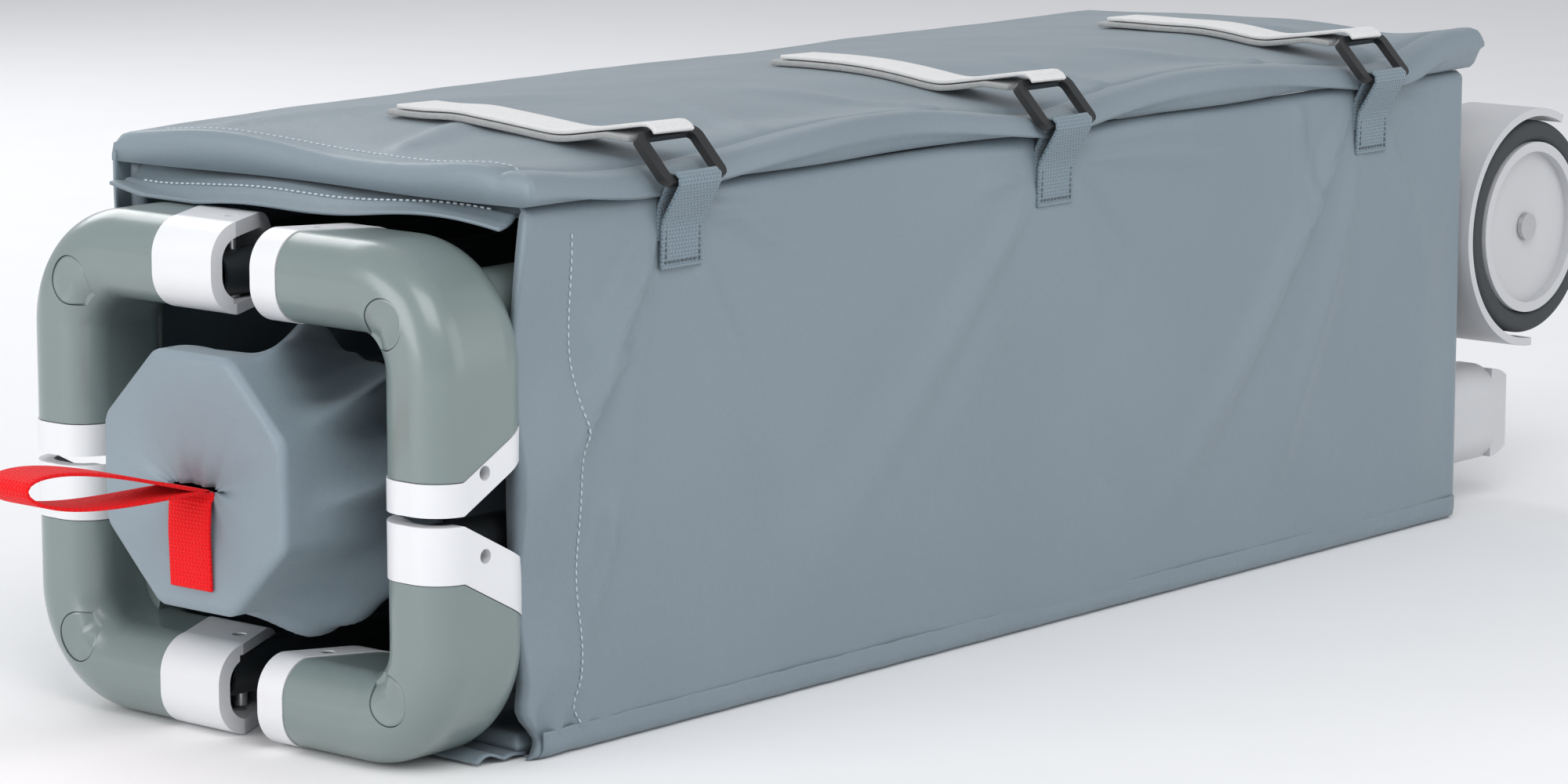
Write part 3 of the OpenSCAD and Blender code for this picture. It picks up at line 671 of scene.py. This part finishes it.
def hub_surface(u, v):
    angle = u * 2 * np.pi
    cos, sin = np.cos(angle), np.sin(angle)
    face = np.clip(v / RIM_PATH, 0, 1)
    turn = np.clip((v - RIM_PATH) / (TURN_PATH - RIM_PATH), 0, 1)
    back = np.clip((v - TURN_PATH) / (BACK_PATH - TURN_PATH), 0, 1)
    radius = octagon(angle) + 0.0008
    slit_y, slit_z = 0.0145 * cos, SLIT_Z - CAP_Z + 0.0012 * sin
    drape = smooth(back, 0.0, 0.55)
    wave = np.sin(3.5 * (angle + 0.3 * np.sin(2 * angle + 1.0)) + 2.6 * back)
    creases = np.clip(1 - np.sqrt(wave ** 2 + 0.012 * (0.4 + back)), 0, 1)
    small = np.sin(17 * angle + 5 * back + 2 * np.sin(3 * angle))
    shape = radius + 0.008 * drape * (0.6 - sin * 0.4)
    shape = shape + drape * (0.017 * (creases ** 1.4 - 0.38) + 0.0012 * small)
    shape = shape * (1 - smooth(back, 0.86, 1.0) * 0.45)
    sag = -0.006 * drape
    y = np.where(v < RIM_PATH, slit_y * (1 - face) + radius * cos * face, shape * cos)
    z = np.where(v < RIM_PATH, slit_z * (1 - face) + radius * sin * face, shape * sin + sag)
    pucker = -np.exp(-face * 4.3) * (0.0022 - 0.0011 * np.sin(7 * angle + 0.6) - 0.0007 * np.sin(13 * angle))
    soft = 0.0007 * wander(y, z, 90, 0.5) * smooth(face, 0.05, 0.3) * smooth(1 - face, 0.0, 0.2)
    radial = 0.0006 * np.sin(5 * angle + 1.0) * np.sin(np.pi * face)
    roll = 0.002 * smooth(face, 0.94, 1.0)
    x = CAP_LO.x - 0.0012 - pucker - soft - radial + roll
    x = x + (CAP_HI.x - CAP_LO.x + 0.001) * turn + (CLOTH_HI.x - CAP_HI.x) * back
    x = x + 0.005 * drape * np.sin(2 * angle + 0.8) * (1 - back)
    return x, y, CAP_Z + z


hub_us = np.linspace(0, 1, 193)
hub_vs = np.concatenate([np.linspace(0, RIM_PATH, 22), np.linspace(RIM_PATH, TURN_PATH, 5)[1:],
                         np.linspace(TURN_PATH, BACK_PATH, 44)[1:]])
hub_cover = sheet_grid("hub_cover", hub_us, hub_vs, hub_surface)
weld()
thicken(hub_cover, 0.0009, offset=-1)
bpy.ops.object.shade_smooth()
hub_cover.data.materials.append(hub_cloth)
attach(hub_cover, "frame")
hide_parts("hub_cap", "floor_cloth")
hub_area = sum(face.area for face in hub_cover.data.polygons) / 2
print("hub cover, square metres:", round(hub_area, 4))

# %% [markdown]
# The red pull webbing is one strap: a teardrop loop that stands out of the slit, and a short end that
# hangs below it. Each ribbon is a grid that follows a path, with its own UV map in metres for the weave.

# %% Ribbons
STRAP_WIDTH = 0.0245


def follow(points):
    """A path through points by arc length: returns its length and a function from distance to place."""
    points = np.array(points, float)
    steps = np.linalg.norm(np.diff(points, axis=0), axis=1)
    reach = np.concatenate([[0], np.cumsum(steps)])
    return reach[-1], lambda d: [np.interp(d, reach, points[:, i]) for i in range(3)]


def ribbon(name, points, width, side, body, material, thick=0.0015, cells=6, step=0.003):
    """A flat strap along points, as wide as width along side, with softly rounded edges."""
    length, place = follow(points)
    us = np.linspace(-width / 2, width / 2, cells + 1)
    vs = np.linspace(0, length, max(4, round(length / step)) + 1)
    side = np.array(side, float)

    def spot(u, v):
        x, y, z = place(v)
        return x + side[0] * u, y + side[1] * u, z + side[2] * u

    strap = sheet_grid(name, us, vs, spot)
    thicken(strap, thick)
    bpy.ops.object.modifier_add(type="BEVEL")
    strap.modifiers["Bevel"].width = thick * 0.3
    strap.modifiers["Bevel"].segments = 2
    bpy.ops.object.modifier_apply(modifier="Bevel")
    bpy.ops.object.shade_smooth_by_angle(angle=math.radians(50))
    strap.data.materials.append(material)
    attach(strap, body)
    return strap


def teardrop(root, length, height, rise):
    """A loop in the X-Z plane that starts and ends at its root and is widest near its tip."""
    turn = np.linspace(0, 2 * np.pi, 121)
    reach = (1 - np.cos(turn)) / 2
    x = root[0] - length * reach
    z = root[2] + rise * reach - height * np.sin(turn) * np.sin(turn / 2) ** 1.6
    return np.stack([x, 0 * x + root[1], z], axis=1)


PULL_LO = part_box("pull_strap")[0]
TAIL_LO, TAIL_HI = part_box("pull_tail")
slit = (CAP_LO.x - 0.0004, 0, SLIT_Z)
loop_path = teardrop((CAP_LO.x - 0.0022, 0, SLIT_Z), CAP_LO.x - 0.0032 - PULL_LO.x, 0.0105, 0.014)
red_loop = ribbon("red_loop", loop_path, STRAP_WIDTH, (0, 1, 0), "pull_loop", red_webbing)
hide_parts("pull_strap")
tail_x = (TAIL_LO.x + TAIL_HI.x) / 2 - 0.0006
tail_path = [(slit[0], 0, SLIT_Z - 0.0006), (tail_x + 0.003, 0, SLIT_Z - 0.0014), (tail_x, 0, SLIT_Z - 0.005),
             (tail_x - 0.0008, 0, SLIT_Z - 0.018), (tail_x, 0, TAIL_LO.z)]
red_tail = ribbon("red_tail", tail_path, STRAP_WIDTH, (0, 1, 0), "frame", red_webbing)
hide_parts("pull_tail")
print("red loop, mm of webbing:", round(follow(loop_path)[0] / MM))

# %% [markdown]
# ## Straps, rings and tabs
# Each hook-and-loop strap is an off-white tail over a grey looped tape. The tape follows the flap's surface
# just above it, and the tail follows the tape. The tail's end turns down over the upper bar of its ring.

# %% Straps on the flap
RINGS_LO, RINGS_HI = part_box("rings")
BASE_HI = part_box("strap_bases")[1]
STRAP_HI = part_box("strap_tail_1")[1]
HOOK_R = 0.0052
TABS_LO, TABS_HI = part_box("ring_tabs")
BAR_OUT = 0.0025
BAR_Z = RINGS_HI.z - BAR_OUT
BAR_Y = RINGS_HI.y - BAR_OUT


def flap_surface(x, y):
    """The height of the finished flap over a point."""
    return flap_top(np.float64(x + WRAP_X), np.float64(y + WRAP_Y))[2]


def on_flap(x, y_from, y_to, above, count=40):
    """A line of points along Y that follows the flap at a height above it."""
    ys = np.linspace(y_from, y_to, count)
    heights = [max(flap_surface(x + side, y) for side in (-0.012, 0, 0.012)) for y in ys]
    return [(x, y, z + above) for y, z in zip(ys, heights)]


def soften(points, turns=12):
    """Takes the corners out of a line of points without moving its ends."""
    points = np.array(points, float)
    for _ in range(turns):
        points[1:-1] = (points[:-2] + 2 * points[1:-1] + points[2:]) / 4
    return points


def even(points, count):
    """The same line with its points at equal steps."""
    length, place = follow(points)
    return np.array([place(d) for d in np.linspace(0, length, count)])


for index, x in enumerate(RING_X, start=1):
    turns = np.radians(range(-74, 20, 6))
    hook = [(x, BAR_Y + HOOK_R * math.sin(a), BAR_Z + HOOK_R * math.cos(a)) for a in turns]
    lie = even(hook + on_flap(x, BAR_Y + 0.050, BASE_HI.y, 0.0044), 96)
    lie[:14] = soften(lie[:14], 3)
    lie[10:] = soften(lie[10:], 20)
    tail = lie[lie[:, 1] < STRAP_HI.y]
    under = lie[lie[:, 1] > BAR_Y + 0.008] - np.array([0, 0, 0.0026])
    under[:10, 2] -= np.linspace(0.0030, 0, 10)
    strap = ribbon(f"strap_{index}_tail", tail, STRAP_WIDTH, (1, 0, -0.02), f"strap_{index}", white_tape,
                   0.0019, 8)
    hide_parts(f"strap_tail_{index}")
    base = ribbon(f"strap_base_{index}", under, 0.027, (1, 0, 0), "flap", loop_tape, 0.0026, 8)
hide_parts("strap_bases")
print("straps at", RING_X)

# %% [markdown]
# The tabs are woven webbing, doubled round the ring's lower bar and sewn down with a box of stitches.
# A stitch is a small spindle, and a line of them is added in one mesh.

# %% Stitches and tabs
def stitches(name, lines, pitch, body, material, size=0.0006):
    """Rows of raised stitches along lines of points."""
    bpy.ops.object.select_all(action="DESELECT")
    first = True
    for line in lines:
        length, place = follow(line)
        count = max(1, round(length / pitch))
        for number in range(count):
            middle = Vector(place((number + 0.5) * length / count))
            ahead = Vector(place((number + 0.9) * length / count)) - middle
            turn = ahead.to_track_quat("X", "Z").to_euler()
            bpy.ops.mesh.primitive_uv_sphere_add(segments=6, ring_count=4, radius=1, location=middle,
                                                 rotation=turn, scale=(pitch * 0.42, size, size))
            if first:
                thread = bpy.context.object
                thread.name = name
                bpy.ops.object.transform_apply(location=True, rotation=True, scale=True)
                bpy.ops.object.mode_set(mode="EDIT")
                first = False
    bpy.ops.object.mode_set(mode="OBJECT")
    bpy.ops.object.shade_smooth()
    thread.data.materials.append(material)
    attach(thread, body)
    return thread


LOW_Y = RINGS_LO.y + BAR_OUT
LOW_Z = RINGS_LO.z + BAR_OUT
TAB_R = 0.0036
tab_lines = []
for index, x in enumerate(RING_X, start=1):
    turns = np.radians(range(-30, 196, 15))
    bend = [(x, LOW_Y - TAB_R * math.cos(a), LOW_Z + TAB_R * math.sin(a)) for a in turns]
    inner = [(x, FRONT_LO.y - 0.0006, TABS_LO.z + 0.012), (x, FRONT_LO.y - 0.0006, LOW_Z - 0.012)]
    outer = [(x, FRONT_LO.y - 0.0030, LOW_Z - 0.018), (x, FRONT_LO.y - 0.0022, TABS_LO.z)]
    path = inner + bend[::-1] + outer
    tab = ribbon(f"tab_{index}", soften(even(path, 110), 6), 0.026, (1, 0, 0), "front_panel", tab_webbing,
                 0.0015, 8)
    if index == 1:
        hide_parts("ring_tabs")
    left, right, low, high = x - 0.0105, x + 0.0105, TABS_LO.z + 0.003, LOW_Z - 0.018
    thread_y = FRONT_LO.y - 0.0034
    tab_lines.append([(left, thread_y, high), (left, thread_y, low), (right, thread_y, low),
                      (right, thread_y, high), (left, thread_y, high)])
stitches("tab_stitches", tab_lines, 0.0026, "front_panel", tab_webbing, 0.0005)
print("tabs from", round(TABS_LO.z / MM), "to", round(TABS_HI.z / MM), "mm")

# %% [markdown]
# The wrap's own seams: a row of small stitches beside the hub-end hem, along the flap's front edge and
# along the flap's hub end.

# %% Seam stitches on the wrap
seam_thread = coated_cloth("seam_thread", linear(168, 180, 188), linear(196, 206, 212), 0.6)


def front_point(u, v, out=0.0003):
    x, y, z = front_face(np.float64(u), np.float64(v))
    return float(x), float(y) - out, float(z)


def flap_point(u, v, up=0.0002):
    x, y, z = flap_top(np.float64(u), np.float64(v))
    return float(x), float(y), float(z) + up


height = FRONT_TOP - FRONT_LO.z
hem_line = [front_point(0.024, v) for v in np.linspace(0.012, height - 0.012, 80)]
stitches("front_stitches", [hem_line], 0.0034, "front_panel", seam_thread, 0.00045)
edge_line = [flap_point(u, 0.016, -0.0001) for u in np.linspace(0.012, 2 * WRAP_X - 0.012, 200)]
end_line = [flap_point(0.012, v) for v in np.linspace(0.016, 2 * WRAP_Y - 0.02, 80)]
stitches("flap_stitches", [edge_line, end_line], 0.0036, "flap", seam_thread, 0.00045)

# %% [markdown]
# ## Loose cloth round the panels
# The mattress has a wide seam allowance at its hub end. Under the flap it hangs out as a second, stitched
# layer. A folded tab of it stands at the back corner, and a small one lies under the bottom corner.

# %% Second layer under the flap
def under_layer(u, v):
    y = 0.112 - u
    out = v / 0.034
    near = smooth(u, 0.15, 0.222)
    far = 1 - smooth(u, 0.0, 0.05)
    x = -WRAP_X + 0.014 - v * (0.90 + 0.10 * np.sin(u * 19)) + 0.006 * near
    drop = 0.0095 * smooth(out, 0.25, 1.0) * (0.75 + 0.25 * np.sin(u * 26 + 0.4))
    z = FLAP_LO.z - 0.0022 - drop - 0.0016 * np.sin(u * 58) * out + 0.0022 * far * np.sin(v * 240)
    ridge = 0.0012 * np.exp(-((v - 0.022) / 0.0016) ** 2)
    return x, y, np.maximum(z + ridge, 0.2186 + 0.0 * u)


under_us = np.linspace(0, 0.222, 90)
under_vs = np.linspace(0, 0.034, 22)
under_hem = cloth_strip("flap_under_hem", under_us, under_vs, under_layer, "flap", wrap_cloth, 0.0014)
spots = [under_layer(np.float64(u), np.float64(0.0215)) for u in np.linspace(0.01, 0.21, 60)]
line = [(float(x) - 0.0004, float(y), float(z) + 0.0009) for x, y, z in spots]
stitches("under_hem_stitches", [line], 0.0034, "flap", seam_thread, 0.0005)


def back_tab(u, v):
    """The seam allowance that stands out at the back panel's hub end."""
    z = 0.012 + u * (BACK_TOP - 0.007) / 0.20
    sway = np.sin(u * 30 + 0.5)
    x = -WRAP_X + 0.004 - v * (0.85 + 0.2 * np.sin(u * 17 + 1.0))
    y = WRAP_Y - 0.0035 + 0.0016 * sway * (v / 0.018) + 0.0010 * np.sin(u * 75) * (v / 0.018)
    return x, y, z


BACK_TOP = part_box("mattress_back")[1].z
back_hem = cloth_strip("back_end_hem", np.linspace(0, 0.20, 70), np.linspace(0, 0.018, 10), back_tab,
                       "back_panel", wrap_cloth, 0.0014)


def corner_tab(u, v):
    """The gathered end of the bottom seam, below the front panel's hub corner."""
    x = -WRAP_X + 0.006 - u * 0.92
    fold_up = 0.0035 * np.abs(np.sin(u * 210)) * (u / 0.030)
    y = -0.110 + v * 0.95 - 0.0012 * np.sin(u * 160)
    z = 0.0016 + fold_up + 0.0022 * (v / 0.034) * (1 + np.sin(u * 130 + 1.0)) * (u / 0.030)
    return x, y, z


corner_hem = cloth_strip("bottom_end_hem", np.linspace(0, 0.030, 24), np.linspace(0, 0.034, 16), corner_tab,
                         "frame", wrap_cloth, 0.0012)
print("loose hems: under the flap, at the back and at the bottom corner")

# %% [markdown]
# The cover runs on from panel to panel. A narrow strip, bent to a quarter round, bridges each fold line.

# %% Cloth over the fold lines
def turn_strip(name, corner, start, end, radius):
    """A quarter-round strip over a long edge. corner is its axis (y, z); start and end are directions."""
    first, last = np.array(start, float), np.array(end, float)
    quarter = radius * np.pi / 2
    tail = 0.006
    length = 2 * WRAP_X - 0.008

    def place(u, v):
        angle = np.clip((v - tail) / quarter, 0, 1) * np.pi / 2
        before = np.clip(tail - v, 0, None)
        after = np.clip(v - tail - quarter, 0, None)
        y = corner[0] + radius * (first[0] * np.cos(angle) + last[0] * np.sin(angle))
        z = corner[1] + radius * (first[1] * np.cos(angle) + last[1] * np.sin(angle))
        y = y - before * last[0] - after * first[0]
        z = z - before * last[1] - after * first[1]
        pucker = 0.0002 * np.sin(u * 260) * np.sin(u * 91)
        return u - WRAP_X + 0.004, y + pucker * (first[0] + last[0]), z + pucker * (first[1] + last[1])

    us = np.linspace(0, length, 150)
    vs = np.linspace(0, quarter + 2 * tail, 17)
    strip = sheet_grid(name, us, vs, place)
    thicken(strip, 0.0008)
    bpy.ops.object.shade_smooth()
    strip.data.materials.append(wrap_cloth)
    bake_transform(strip)
    return strip


edge = 0.0050
turn_strip("seam_top_back", (WRAP_Y - edge, WRAP_TOP - edge + 0.0012), (1, 0), (0, 1), edge + 0.0006)
turn_strip("seam_bottom_back", (WRAP_Y - edge, edge + 0.0012), (0, -1), (1, 0), edge + 0.0006)
turn_strip("seam_bottom_front", (-WRAP_Y + edge, edge + 0.0012), (0, -1), (-1, 0), edge + 0.0006)
print("fold lines covered")

# %% [markdown]
# The cot's walls are cloth too. Between the folded legs they lie in loose upright pleats, which show only
# when the wrap is open.

# %% Folded walls
def wall_bundle(name, y_mid, x_from, x_to, low, high):
    """One closed roll of pleated cloth between the legs."""
    run = x_to - x_from

    def place(u, v):
        angle = u * 2 * np.pi
        along = v / run
        ends = np.sqrt(np.clip(np.sin(np.pi * np.clip(along, 0.0, 1.0)), 0, 1)) ** 0.5
        pleat = 1 - np.abs(np.sin(5.5 * angle + 6 * along + y_mid * 40))
        shape = (0.80 + 0.18 * pleat + 0.05 * np.sin(9 * along * np.pi)) * (0.30 + 0.70 * ends)
        half_y, half_z = 0.030, (high - low) / 2
        y = y_mid + half_y * shape * np.cos(angle)
        z = (low + high) / 2 + half_z * shape * np.sin(angle)
        return x_from + v + 0.0 * u, y, z

    roll = sheet_grid(name, np.linspace(0, 1, 111), np.linspace(0, run, 60), place)
    weld(close=True)
    bpy.ops.object.shade_smooth_by_angle(angle=math.radians(50))
    roll.data.materials.append(inner_cloth)
    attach(roll, "frame")
    return roll


WALL_LO, WALL_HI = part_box("wall_cloth")
wall_side = WALL_HI.y - 0.032
for name, y_mid in (("wall_near", -wall_side), ("wall_far", wall_side)):
    roll = wall_bundle(name, y_mid, WALL_LO.x, WALL_HI.x, WALL_LO.z, WALL_HI.z)
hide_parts("wall_cloth")
print("walls folded between x", round(WALL_LO.x / MM), "and", round(WALL_HI.x / MM))

# %% [markdown]
# ## Plugs in the casings
# Each elbow has a drop-shaped plug that is flush with its rounded surface, so only a fine line shows. The
# line of the casing's surface round the pocket is measured, and the plug's face is stretched across it.

# %% Flush plugs
PLUG_LO, PLUG_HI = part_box("corner_plugs")
PLUG_R = 0.0105
FRAME_Z = (PLUG_LO.z + PLUG_HI.z) / 2
PLUG_Y = PLUG_HI.y - PLUG_R
PLUG_Z = PLUG_HI.z - PLUG_R - FRAME_Z


def plug_radius(angle):
    """The plug's outline: a circle with one square corner, which points to the frame's middle."""
    cos, sin = np.cos(angle), np.sin(angle)
    square = PLUG_R / np.maximum(np.abs(cos), np.abs(sin))
    return np.where((cos < 0) & (sin < 0), np.minimum(square, PLUG_R * 1.3), PLUG_R)


def plug_face(casing, side_y, side_z):
    """The casing's surface round one pocket, as X over the outline's angle."""
    angles = np.linspace(0, 2 * np.pi, 73)[:-1]
    depths = np.full(len(angles), np.nan)
    for index, angle in enumerate(angles):
        reach = float(plug_radius(angle)) + 0.0012
        start = Vector((-0.5, side_y * (PLUG_Y + reach * math.cos(angle)),
                        FRAME_Z + side_z * (PLUG_Z + reach * math.sin(angle))))
        hit, point, normal, face = casing.ray_cast(start, Vector((1, 0, 0)))
        if hit and point.x < PLUG_LO.x + 0.012:
            depths[index] = point.x
    known = ~np.isnan(depths)
    depths = np.interp(angles, angles[known], depths[known], period=2 * np.pi)
    for _ in range(3):
        depths = (np.roll(depths, 1) + 2 * depths + np.roll(depths, -1)) / 4
    return angles, depths


for up, side_z in (("upper", 1), ("lower", -1)):
    for far, side_y in (("near", -1), ("far", 1)):
        angles, depths = plug_face(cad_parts[f"corner_{up}_{far}"], side_y, side_z)
        middle = depths.mean() - 0.0006

        def surface(u, v):
            angle = u * 2 * np.pi
            edge_x = np.interp(angle, angles, depths, period=2 * np.pi)
            share = np.clip(v, 0, 1)
            reach = (plug_radius(angle) - 0.0001) * share
            x = middle + (edge_x - middle) * share ** 2 + np.clip(v - 1, 0, None) * 0.010
            x = x + 0.0003 * smooth(share, 0.93, 1.0)
            y = side_y * (PLUG_Y + reach * np.cos(angle))
            return x, y, FRAME_Z + side_z * (PLUG_Z + reach * np.sin(angle))

        steps = np.concatenate([np.linspace(0, 0.9, 8), np.linspace(0.93, 1.0, 4), [1.1, 1.2, 1.3]])
        plug = sheet_grid(f"plug_{up}_{far}", np.linspace(0, 1, 73), steps, surface)
        weld(close=True)
        bpy.ops.object.shade_smooth_by_angle(angle=math.radians(40))
        plug.data.materials.append(casing_green)
        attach(plug, "frame")
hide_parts("corner_plugs")
